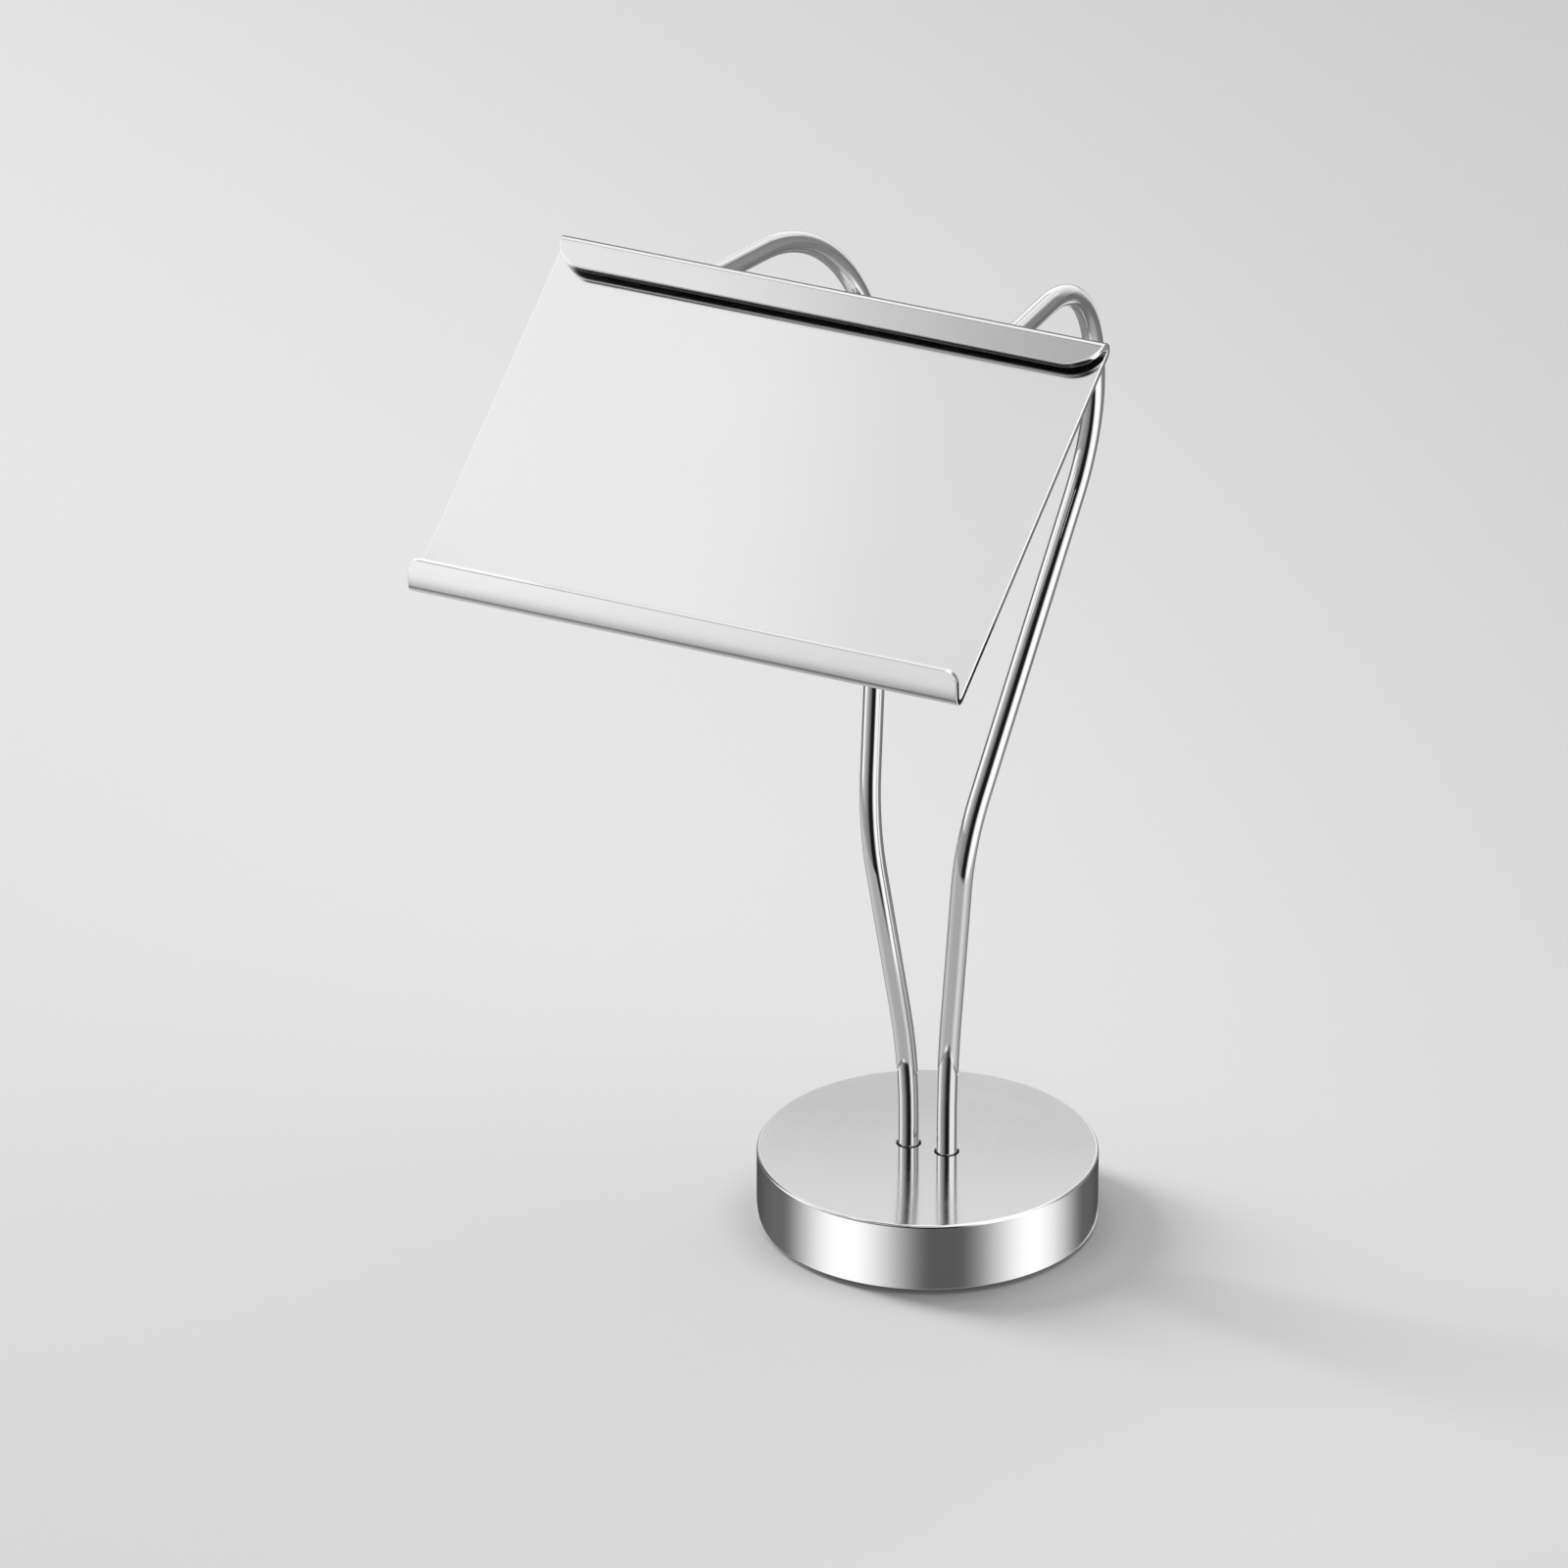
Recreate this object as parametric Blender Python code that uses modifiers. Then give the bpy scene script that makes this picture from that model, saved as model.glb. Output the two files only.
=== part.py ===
"""Menu holder: a folded card plate on two bent rods, which stand in a heavy round base.

Run with: blender --background --python part.py
Units are metres. +Z is up and -Y is the front, where the card faces.
The origin is the centre of the pad's underside, on the table.
"""

import math

import bmesh
import bpy
from mathutils import Matrix, Vector

MM = 0.001

# Gap left between faces that touch on the real object
SEAT_GAP = 0.3 * MM

# Base disc and the pad in its underside
BASE_DIAMETER = 130 * MM
BASE_THICKNESS = 27 * MM
BASE_CHAMFER = 0.8 * MM
PAD_SETBACK = 6 * MM
PAD_DIAMETER = BASE_DIAMETER - 2 * PAD_SETBACK
PAD_THICKNESS = 3.0 * MM
PAD_RECESS_DEPTH = 1.0 * MM
PAD_CHAMFER = 0.5 * MM

# Rods and their sockets in the base
ROD_DIAMETER = 8 * MM
ROD_SPACING = 16 * MM
SOCKET_COUNTERSINK = 0.5 * MM
SOCKET_FLOOR = 4.5 * MM

# Cap screws and washers that hold the rods from below
SCREW_DIAMETER = 5 * MM
SCREW_LENGTH = 20 * MM
SCREW_TIP_ROOM = 1.0 * MM
SCREW_CHAMFER = 0.4 * MM
HEAD_DIAMETER = 8.5 * MM
HEAD_HEIGHT = 5 * MM
HEAD_RECESS = 0.6 * MM
HEX_ACROSS_FLATS = 4 * MM
HEX_DEPTH = 2.5 * MM
WASHER_DIAMETER = 10 * MM
WASHER_THICKNESS = 1.0 * MM
LOCK_WASHER_DIAMETER = 9.2 * MM
LOCK_WASHER_THICKNESS = 1.2 * MM
LOCK_WASHER_SPLIT = 1.0 * MM

# Sheet of the card plate, with its flat face and its two folded lips
SHEET_THICKNESS = 2.5 * MM
PLATE_WIDTH = 220 * MM
FACE_LENGTH = 148 * MM
FOLD_INNER_RADIUS = 1.0 * MM
TOP_FOLD_TURN = math.radians(176)
TOP_LIP_LENGTH = 10.5 * MM
TOP_LIP_CORNER = 14 * MM
BOTTOM_FOLD_TURN = math.radians(122)
BOTTOM_LIP_LENGTH = 11 * MM
BOTTOM_LIP_CORNER = 5 * MM

# Place of the plate: middle of its face, forward of the base axis and above the base
PLATE_TILT = math.radians(35)
PLATE_REACH = 144.5 * MM
PLATE_HEIGHT = 343 * MM

# Bends of each rod, from the foot upwards
FIRST_BEND_RADIUS = 290 * MM
FIRST_BEND_HEIGHT = 35 * MM
BEND_RADIUS = 78 * MM
KNEE_HEIGHT = 137 * MM
KNEE_FORWARD = 11 * MM
KNEE_SPREAD = 40 * MM
REAR_SPREAD = 86 * MM
REAR_DROP = 80 * MM
REAR_BACK = 18.5 * MM
CROWN_SPREAD = 104 * MM
CROWN_DROP = 9.7 * MM
RUN_LENGTH = 120 * MM
JOIN_SPREAD = 128 * MM
JOIN_BELOW_TOP = 8.5 * MM
ROD_TAIL = 75 * MM

# Fillet welds between the rods' tails and the back of the plate
WELD_LENGTH = 14 * MM
WELD_PITCH = 24 * MM
WELD_INSET = 4 * MM
WELD_LEG = 1.8 * MM
WELD_CLIMB = math.radians(22)

# Facets of the round shapes
BASE_STEPS = 96
SMALL_STEPS = 32
ROD_BEVEL_RESOLUTION = 6
BEND_STEP = math.radians(6)
FOLD_STEPS = 10
CORNER_STEPS = 6
WELD_ARC_STEPS = 5
SMOOTH_ANGLE = math.radians(35)
MERGE_DISTANCE = 0.00001

# Heights worked out from the sizes above
RECESS_FLOOR_Z = PAD_THICKNESS + SEAT_GAP
BASE_BOTTOM_Z = RECESS_FLOOR_Z - PAD_RECESS_DEPTH
BASE_TOP_Z = BASE_BOTTOM_Z + BASE_THICKNESS
HEAD_BOTTOM_Z = RECESS_FLOOR_Z + HEAD_RECESS
HEAD_TOP_Z = HEAD_BOTTOM_Z + HEAD_HEIGHT
LOCK_WASHER_Z = HEAD_TOP_Z + SEAT_GAP
WASHER_Z = LOCK_WASHER_Z + LOCK_WASHER_THICKNESS + SEAT_GAP
COUNTERBORE_TOP_Z = WASHER_Z + WASHER_THICKNESS + SEAT_GAP
SOCKET_FLOOR_Z = COUNTERBORE_TOP_Z + SOCKET_FLOOR
ROD_FOOT_Z = SOCKET_FLOOR_Z + SEAT_GAP
SCREW_TIP_Z = HEAD_TOP_Z + SCREW_LENGTH

# Radii of the holes, from what goes through them
ROD_RADIUS = ROD_DIAMETER / 2
SOCKET_RADIUS = ROD_RADIUS + SEAT_GAP
SCREW_HOLE_RADIUS = SCREW_DIAMETER / 2 + SEAT_GAP
COUNTERBORE_RADIUS = max(HEAD_DIAMETER, WASHER_DIAMETER, LOCK_WASHER_DIAMETER) / 2 + SEAT_GAP
CUT_OVERRUN = 1.0 * MM

# Directions of the plate: up its slope, and out of its front
SLOPE = Vector((0, math.cos(PLATE_TILT), math.sin(PLATE_TILT)))
FRONT = Vector((0, -math.sin(PLATE_TILT), math.cos(PLATE_TILT)))
FACE_CENTRE = Vector((0, -PLATE_REACH, BASE_TOP_Z + PLATE_HEIGHT))
ROD_TO_SHEET = SHEET_THICKNESS / 2 + SEAT_GAP + ROD_RADIUS

SIDES = {"left": -1, "right": 1}


def clear_scene():
    for obj in list(bpy.data.objects):
        bpy.data.objects.remove(obj, do_unlink=True)
    for collection in list(bpy.data.collections):
        bpy.data.collections.remove(collection)


def new_collection(name):
    collection = bpy.data.collections.new(name)
    bpy.context.scene.collection.children.link(collection)
    return collection


def new_material(name, colour, roughness, metallic):
    material = bpy.data.materials.new(name)
    material.use_nodes = True
    shader = material.node_tree.nodes["Principled BSDF"]
    shader.inputs["Base Color"].default_value = (*colour, 1)
    shader.inputs["Roughness"].default_value = roughness
    shader.inputs["Metallic"].default_value = metallic
    material.diffuse_color = (*colour, 1)
    return material


def new_mesh_object(name, bm, collection):
    mesh = bpy.data.meshes.new(name)
    bm.to_mesh(mesh)
    bm.free()
    obj = bpy.data.objects.new(name, mesh)
    collection.objects.link(obj)
    return obj


def bake(obj):
    """Replace an object by the welded, smooth-shaded mesh that its modifiers or curve make."""
    graph = bpy.context.evaluated_depsgraph_get()
    mesh = bpy.data.meshes.new_from_object(obj.evaluated_get(graph), depsgraph=graph)
    bm = bmesh.new()
    bm.from_mesh(mesh)
    bmesh.ops.remove_doubles(bm, verts=bm.verts, dist=MERGE_DISTANCE)
    bm.to_mesh(mesh)
    bm.free()
    mesh.shade_smooth()
    mesh.set_sharp_from_angle(angle=SMOOTH_ANGLE)
    name = obj.name
    place = obj.matrix_world.copy()
    owners = list(obj.users_collection)
    bpy.data.objects.remove(obj, do_unlink=True)
    solid = bpy.data.objects.new(name, mesh)
    solid.matrix_world = place
    for collection in owners:
        collection.objects.link(solid)
    return solid


def turned(name, outline, steps, collection, closed=False):
    """Turn an outline of (radius, height) points about Z. The outline runs down its outer side."""
    bm = bmesh.new()
    points = [bm.verts.new((radius, 0, height)) for radius, height in outline]
    for start, end in zip(points, points[1:]):
        bm.edges.new((start, end))
    if closed:
        bm.edges.new((points[-1], points[0]))
    obj = new_mesh_object(name, bm, collection)
    screw = obj.modifiers.new("Turn", "SCREW")
    screw.steps = steps
    screw.render_steps = steps
    screw.use_merge_vertices = True
    screw.merge_threshold = MERGE_DISTANCE
    return obj


def as_cutter(obj):
    obj.hide_render = True
    obj.display_type = "WIRE"
    return obj


def cut(obj, cutter):
    boolean = obj.modifiers.new("Cut " + cutter.name, "BOOLEAN")
    boolean.operation = "DIFFERENCE"
    boolean.solver = "EXACT"
    boolean.object = cutter


def ring_outline(outer, inner, bottom, thickness):
    top = bottom + thickness
    return [(outer, top), (outer, bottom), (inner, bottom), (inner, top)]


def finish(obj, material):
    solid = bake(obj)
    solid.data.materials.clear()
    solid.data.materials.append(material)
    return solid


def make_base_disc(parts, cutters, material):
    radius = BASE_DIAMETER / 2
    recess = PAD_DIAMETER / 2 + SEAT_GAP
    disc = turned("base_disc", [
        (0, BASE_TOP_Z),
        (radius - BASE_CHAMFER, BASE_TOP_Z),
        (radius, BASE_TOP_Z - BASE_CHAMFER),
        (radius, BASE_BOTTOM_Z + BASE_CHAMFER),
        (radius - BASE_CHAMFER, BASE_BOTTOM_Z),
        (recess, BASE_BOTTOM_Z),
        (recess, RECESS_FLOOR_Z),
        (0, RECESS_FLOOR_Z),
    ], BASE_STEPS, parts)
    flare = SOCKET_COUNTERSINK + CUT_OVERRUN
    for side, sign in SIDES.items():
        hole = turned("socket_cut_" + side, [
            (0, BASE_TOP_Z + CUT_OVERRUN),
            (SOCKET_RADIUS + flare, BASE_TOP_Z + CUT_OVERRUN),
            (SOCKET_RADIUS, BASE_TOP_Z - SOCKET_COUNTERSINK),
            (SOCKET_RADIUS, SOCKET_FLOOR_Z),
            (SCREW_HOLE_RADIUS, SOCKET_FLOOR_Z),
            (SCREW_HOLE_RADIUS, COUNTERBORE_TOP_Z),
            (COUNTERBORE_RADIUS, COUNTERBORE_TOP_Z),
            (COUNTERBORE_RADIUS, RECESS_FLOOR_Z - CUT_OVERRUN),
            (0, RECESS_FLOOR_Z - CUT_OVERRUN),
        ], SMALL_STEPS, cutters)
        hole.location.x = sign * ROD_SPACING / 2
        cut(disc, as_cutter(hole))
    return finish(disc, material)


def make_base_pad(parts, material):
    radius = PAD_DIAMETER / 2
    pad = turned("base_pad", [
        (0, PAD_THICKNESS),
        (radius, PAD_THICKNESS),
        (radius, PAD_CHAMFER),
        (radius - PAD_CHAMFER, 0),
        (0, 0),
    ], BASE_STEPS, parts)
    return finish(pad, material)


def make_rod_screw(side, sign, parts, cutters, material):
    head = HEAD_DIAMETER / 2
    shank = SCREW_DIAMETER / 2
    screw = turned("rod_screw_" + side, [
        (0, SCREW_TIP_Z),
        (shank - SCREW_CHAMFER, SCREW_TIP_Z),
        (shank, SCREW_TIP_Z - SCREW_CHAMFER),
        (shank, HEAD_TOP_Z),
        (head, HEAD_TOP_Z),
        (head, HEAD_BOTTOM_Z + SCREW_CHAMFER),
        (head - SCREW_CHAMFER, HEAD_BOTTOM_Z),
        (0, HEAD_BOTTOM_Z),
    ], SMALL_STEPS, parts)
    screw.location.x = sign * ROD_SPACING / 2
    corner_radius = HEX_ACROSS_FLATS / 2 / math.cos(math.pi / 6)
    depth = HEX_DEPTH + CUT_OVERRUN
    bm = bmesh.new()
    bmesh.ops.create_cone(bm, cap_ends=True, segments=6, radius1=corner_radius,
                          radius2=corner_radius, depth=depth)
    hexagon = new_mesh_object("hex_cut_" + side, bm, cutters)
    hexagon.location = (screw.location.x, 0, HEAD_BOTTOM_Z + HEX_DEPTH - depth / 2)
    cut(screw, as_cutter(hexagon))
    return finish(screw, material)


def make_washers(side, sign, parts, cutters, material):
    place = sign * ROD_SPACING / 2
    flat = turned("rod_washer_" + side,
                  ring_outline(WASHER_DIAMETER / 2, SCREW_HOLE_RADIUS, WASHER_Z, WASHER_THICKNESS),
                  SMALL_STEPS, parts, closed=True)
    flat.location.x = place
    lock = turned("lock_washer_" + side,
                  ring_outline(LOCK_WASHER_DIAMETER / 2, SCREW_HOLE_RADIUS, LOCK_WASHER_Z,
                               LOCK_WASHER_THICKNESS),
                  SMALL_STEPS, parts, closed=True)
    lock.location.x = place
    bm = bmesh.new()
    bmesh.ops.create_cube(bm, size=1)
    size = (LOCK_WASHER_SPLIT, LOCK_WASHER_DIAMETER, LOCK_WASHER_THICKNESS + 2 * CUT_OVERRUN)
    bmesh.ops.scale(bm, vec=size, verts=bm.verts)
    bmesh.ops.translate(bm, vec=(0, LOCK_WASHER_DIAMETER / 2, 0), verts=bm.verts)
    split = new_mesh_object("split_cut_" + side, bm, cutters)
    split.location = (place, 0, LOCK_WASHER_Z + LOCK_WASHER_THICKNESS / 2)
    cut(lock, as_cutter(split))
    finish(flat, material)
    finish(lock, material)


def bent_path(corners, radii):
    """Points along straight runs joined by arcs. An arc is limited by the runs that it joins."""
    runs = [(end - start).length for start, end in zip(corners, corners[1:])]
    turns = []
    for before, corner, after in zip(corners, corners[1:], corners[2:]):
        turns.append((corner - before).angle(after - corner))
    wanted = [radius * math.tan(turn / 2) for radius, turn in zip(radii, turns)]
    wanted = [0] + wanted + [0]
    points = [corners[0]]
    for index, turn in enumerate(turns, start=1):
        corner = corners[index]
        share_before = runs[index - 1] / max(runs[index - 1], wanted[index - 1] + wanted[index])
        share_after = runs[index] / max(runs[index], wanted[index] + wanted[index + 1])
        reach = wanted[index] * min(share_before, share_after)
        radius = reach / math.tan(turn / 2)
        towards = (corners[index - 1] - corner).normalized()
        away = (corners[index + 1] - corner).normalized()
        start = corner + towards * reach
        centre = corner + (towards + away).normalized() * (radius / math.cos(turn / 2))
        spoke = start - centre
        steps = max(2, math.ceil(turn / BEND_STEP))
        for step in range(steps + 1):
            angle = turn * step / steps
            points.append(centre + spoke * math.cos(angle) - towards * (radius * math.sin(angle)))
    points.append(corners[-1])
    return points


def rod_corners(sign):
    """Corners of a rod's centre line: foot, first bend, knee, rear, crown, join and tail end."""
    foot_x = sign * ROD_SPACING / 2
    top_of_face = FACE_CENTRE + SLOPE * (FACE_LENGTH / 2)
    join = top_of_face - SLOPE * JOIN_BELOW_TOP - FRONT * ROD_TO_SHEET
    join.x = sign * JOIN_SPREAD / 2
    crown = Vector((sign * CROWN_SPREAD / 2, join.y + RUN_LENGTH, join.z - CROWN_DROP))
    rear = Vector((sign * REAR_SPREAD / 2, crown.y + REAR_BACK, crown.z - REAR_DROP))
    return [
        Vector((foot_x, 0, ROD_FOOT_Z)),
        Vector((foot_x, 0, BASE_TOP_Z + FIRST_BEND_HEIGHT)),
        Vector((sign * KNEE_SPREAD / 2, -KNEE_FORWARD, BASE_TOP_Z + KNEE_HEIGHT)),
        rear,
        crown,
        join,
        join - SLOPE * ROD_TAIL,
    ]


def make_rod(side, sign, parts, cutters, material):
    radii = [FIRST_BEND_RADIUS, BEND_RADIUS, BEND_RADIUS, BEND_RADIUS, BEND_RADIUS]
    points = bent_path(rod_corners(sign), radii)
    curve = bpy.data.curves.new("rod_" + side, "CURVE")
    curve.dimensions = "3D"
    curve.bevel_depth = ROD_RADIUS
    curve.bevel_resolution = ROD_BEVEL_RESOLUTION
    curve.use_fill_caps = True
    spline = curve.splines.new("POLY")
    spline.points.add(len(points) - 1)
    for target, point in zip(spline.points, points):
        target.co = (*point, 1)
    rod = bpy.data.objects.new("rod_" + side, curve)
    parts.objects.link(rod)
    rod = bake(rod)
    bottom = ROD_FOOT_Z - CUT_OVERRUN
    top = SCREW_TIP_Z + SCREW_TIP_ROOM
    bm = bmesh.new()
    bmesh.ops.create_cone(bm, cap_ends=True, segments=SMALL_STEPS, radius1=SCREW_HOLE_RADIUS,
                          radius2=SCREW_HOLE_RADIUS, depth=top - bottom)
    thread = new_mesh_object("thread_cut_" + side, bm, cutters)
    thread.location = (sign * ROD_SPACING / 2, 0, (top + bottom) / 2)
    cut(rod, as_cutter(thread))
    return finish(rod, material)


def corner_draw_in(from_edge, corner):
    """How far the end of a row draws in, at a distance from the free edge along the sheet."""
    if from_edge >= corner:
        return 0
    return corner - math.sqrt(corner ** 2 - (corner - from_edge) ** 2)


def lip_rows(sign, turn, length, corner):
    """Rows of a fold and its lip in (slope, front) coordinates, out to the lip's free edge.

    Each row is its point and how far its ends draw in at the lip's rounded corners.
    """
    radius = FOLD_INNER_RADIUS + SHEET_THICKNESS / 2
    start_u = sign * FACE_LENGTH / 2
    rows = []
    for step in range(FOLD_STEPS + 1):
        angle = turn * step / FOLD_STEPS
        point = Vector((start_u + sign * radius * math.sin(angle), radius * (1 - math.cos(angle))))
        from_edge = length + radius * (turn - angle)
        rows.append((point, corner_draw_in(from_edge, corner)))
    fold_end = rows[-1][0]
    direction = Vector((sign * math.cos(turn), math.sin(turn)))
    for step in range(CORNER_STEPS - 1, -1, -1):
        from_edge = length * (1 - math.cos(math.pi / 2 * step / CORNER_STEPS))
        rows.append((fold_end + direction * (length - from_edge), corner_draw_in(from_edge, corner)))
    return rows


def make_menu_plate(parts, material):
    bottom_rows = lip_rows(-1, BOTTOM_FOLD_TURN, BOTTOM_LIP_LENGTH, BOTTOM_LIP_CORNER)
    top_rows = lip_rows(1, TOP_FOLD_TURN, TOP_LIP_LENGTH, TOP_LIP_CORNER)
    rows = bottom_rows[::-1] + top_rows
    bm = bmesh.new()
    section = []
    for point, draw_in in rows:
        place = FACE_CENTRE + SLOPE * point.x + FRONT * point.y
        section.append(bm.verts.new((PLATE_WIDTH / 2 - draw_in, place.y, place.z)))
    for start, end in zip(section, section[1:]):
        bm.edges.new((start, end))
    strip = bmesh.ops.extrude_edge_only(bm, edges=bm.edges[:])
    far_side = [item for item in strip["geom"] if isinstance(item, bmesh.types.BMVert)]
    bmesh.ops.scale(bm, vec=(-1, 1, 1), verts=far_side)
    plate = new_mesh_object("menu_plate", bm, parts)
    shell = plate.modifiers.new("Sheet", "SOLIDIFY")
    shell.thickness = SHEET_THICKNESS
    shell.offset = 0
    shell.use_even_offset = True
    return finish(plate, material)


def weld_outline(flank):
    """Section of a weld in the corner between rod and sheet, with the rod's axis at (0, 0)."""
    reach = ROD_RADIUS + SEAT_GAP
    sheet = ROD_RADIUS
    start = math.asin(sheet / reach)
    outline = [(reach * math.cos(start) + WELD_LEG, sheet)]
    for step in range(WELD_ARC_STEPS + 1):
        angle = start + (WELD_CLIMB - start) * step / WELD_ARC_STEPS
        outline.append((reach * math.cos(angle), reach * math.sin(angle)))
    return [(flank * across, out) for across, out in outline]


def make_weld(name, flank, tail_end, from_end, parts, material):
    curve = bpy.data.curves.new(name, "CURVE")
    curve.dimensions = "2D"
    curve.fill_mode = "BOTH"
    curve.extrude = WELD_LENGTH / 2
    spline = curve.splines.new("POLY")
    outline = weld_outline(flank)
    spline.points.add(len(outline) - 1)
    for target, (across, out) in zip(spline.points, outline):
        target.co = (across, out, 0, 1)
    spline.use_cyclic_u = True
    weld = bpy.data.objects.new(name, curve)
    weld.matrix_world = (Matrix.Translation(tail_end + SLOPE * (from_end + WELD_LENGTH / 2))
                         @ Matrix.Rotation(math.pi / 2 + PLATE_TILT, 4, "X"))
    parts.objects.link(weld)
    return finish(weld, material)


def make_welds(side, sign, parts, material):
    tail_end = rod_corners(sign)[-1]
    stations = {"lower": WELD_INSET, "upper": WELD_INSET + WELD_PITCH}
    flanks = {"inner": -sign, "outer": sign}
    for station, from_end in stations.items():
        for flank_name, flank in flanks.items():
            name = "_".join(("weld", side, station, flank_name))
            make_weld(name, flank, tail_end, from_end, parts, material)


def main():
    clear_scene()
    parts = new_collection("menu_holder")
    cutters = new_collection("cutters")
    polished = new_material("polished steel", (0.80, 0.80, 0.81), 0.06, 1.0)
    rod_steel = new_material("polished rod", (0.76, 0.76, 0.77), 0.08, 1.0)
    sheet_steel = new_material("polished sheet", (0.82, 0.82, 0.83), 0.05, 1.0)
    zinc = new_material("zinc plated steel", (0.55, 0.56, 0.58), 0.35, 1.0)
    weld_steel = new_material("dressed weld", (0.62, 0.62, 0.63), 0.30, 1.0)
    rubber = new_material("black rubber", (0.03, 0.03, 0.03), 0.85, 0.0)
    make_base_disc(parts, cutters, polished)
    make_base_pad(parts, rubber)
    make_menu_plate(parts, sheet_steel)
    for side, sign in SIDES.items():
        make_rod(side, sign, parts, cutters, rod_steel)
        make_rod_screw(side, sign, parts, cutters, zinc)
        make_washers(side, sign, parts, cutters, zinc)
        make_welds(side, sign, parts, weld_steel)


main()
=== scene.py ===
"""Menu holder in polished steel: its fine pieces, their finishes, the stage and the camera.

The file is laid out as an add-on and is run as a script.
Units are metres. +Z is up and -Y is the front, where the card faces.
"""

import math

import bmesh
import bpy
from mathutils import Matrix, Vector


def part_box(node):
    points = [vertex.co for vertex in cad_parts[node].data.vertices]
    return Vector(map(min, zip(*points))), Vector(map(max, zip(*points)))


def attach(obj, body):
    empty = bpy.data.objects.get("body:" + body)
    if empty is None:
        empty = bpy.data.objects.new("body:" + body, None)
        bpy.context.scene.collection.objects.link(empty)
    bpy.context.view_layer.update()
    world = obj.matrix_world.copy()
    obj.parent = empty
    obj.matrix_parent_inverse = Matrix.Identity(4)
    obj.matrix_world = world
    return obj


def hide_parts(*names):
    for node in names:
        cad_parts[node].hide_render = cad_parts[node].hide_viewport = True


bl_info = {
    "name": "Menu Holder",
    "version": (1, 0, 0),
    "blender": (4, 5, 0),
    "location": "View3D > Sidebar > Menu Holder",
    "description": "Builds a polished steel menu holder and the studio that it stands in",
    "category": "Add Mesh",
}

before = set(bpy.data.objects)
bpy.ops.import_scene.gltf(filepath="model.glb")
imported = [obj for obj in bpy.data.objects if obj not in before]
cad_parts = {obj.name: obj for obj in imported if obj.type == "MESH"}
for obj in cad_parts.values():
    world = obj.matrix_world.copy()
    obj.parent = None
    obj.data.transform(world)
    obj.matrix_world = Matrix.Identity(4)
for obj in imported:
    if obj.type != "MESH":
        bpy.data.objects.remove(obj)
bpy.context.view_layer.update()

MM = 0.001
BODY = "root"
SIDES = {"left": -1, "right": 1}

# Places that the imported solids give
DISC_LOW, DISC_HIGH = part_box("base_disc")
PAD_LOW, PAD_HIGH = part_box("base_pad")
WASHER_LOW, WASHER_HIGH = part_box("rod_washer_right")
PLATE_LOW, PLATE_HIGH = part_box("menu_plate")
SCREW_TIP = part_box("rod_screw_right")[1].z
ROD_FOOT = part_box("rod_right")[0].z

# Gap that the solids keep where the real pieces touch, and the merge distance of the meshes
SEAT_GAP = 0.3 * MM
MERGE_DISTANCE = 0.001 * MM

# Screw holes, the room past the tip of a screw, and how far the sockets' cutter overruns the disc
SCREW_HOLE_RADIUS = 2.8 * MM
SCREW_TIP_ROOM = 1 * MM
CUTTER_OVERRUN = 1 * MM

# Facets of the roundings, the welds, the sockets and the stage
RIM_STEPS = 8
PAD_EDGE_STEPS = 5
EDGE_STEPS = 6
WELD_STEPS = 8
STEPS_PER_RIPPLE = 6
SOCKET_STEPS = 64
STAGE_STEPS = 96
FLOOR_STEPS = 128
COLLAR_STEPS = 192

# Edges that turn by more than these angles, in degrees, are cut edges or stay sharp
CUT_TURN = 60
SHARP_TURN = 40
WELD_SHARP_TURN = 50

# Fullness of a weld at its ends, and how deep its ripples are, as shares of its section
WELD_END = 0.7
WELD_RIPPLE = 0.35

# Node that the materials end in, the painted shade of the seam round a rod and how much paler bloom
# makes rubber
SHADER = "Principled BSDF"
SEAM_WIDTH = 0.45 * MM
SEAM_BLUR = 0.1 * MM
RUBBER_BLOOM = 1.8


def linear(hex_colour):
    """Linear red, green and blue of an sRGB hex colour."""
    channels = [int(hex_colour[start:start + 2], 16) / 255 for start in (0, 2, 4)]
    return [c / 12.92 if c <= 0.04045 else ((c + 0.055) / 1.055) ** 2.4 for c in channels]


def size(label, description, metres):
    return bpy.props.FloatProperty(name=label, description=description, default=metres,
                                   unit="LENGTH", precision=5)


def angle(label, description, degrees):
    return bpy.props.FloatProperty(name=label, description=description,
                                   default=math.radians(degrees), subtype="ANGLE")


def level(label, description, amount):
    return bpy.props.FloatProperty(name=label, description=description, default=amount, min=0)


def count(label, description, number):
    return bpy.props.IntProperty(name=label, description=description, default=number, min=1)


def colour(label, description, hex_colour):
    return bpy.props.FloatVectorProperty(name=label, description=description, subtype="COLOR",
                                         size=3, min=0, max=1, default=linear(hex_colour))


class MenuHolderBase(bpy.types.PropertyGroup):
    upper_rim: size("Upper rim", "Rounding of the disc's upper rim", 1.2 * MM)
    lower_rim: size("Lower rim", "Rounding of the disc's lower rim", 0.3 * MM)
    countersink: size("Countersink", "Depth of the countersink round each rod", 0.6 * MM)
    pad_edge: size("Pad edge", "Rounding of the pad's edges", 0.5 * MM)
    steps: count("Steps", "Facets round the disc and the pad", 288)


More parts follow.
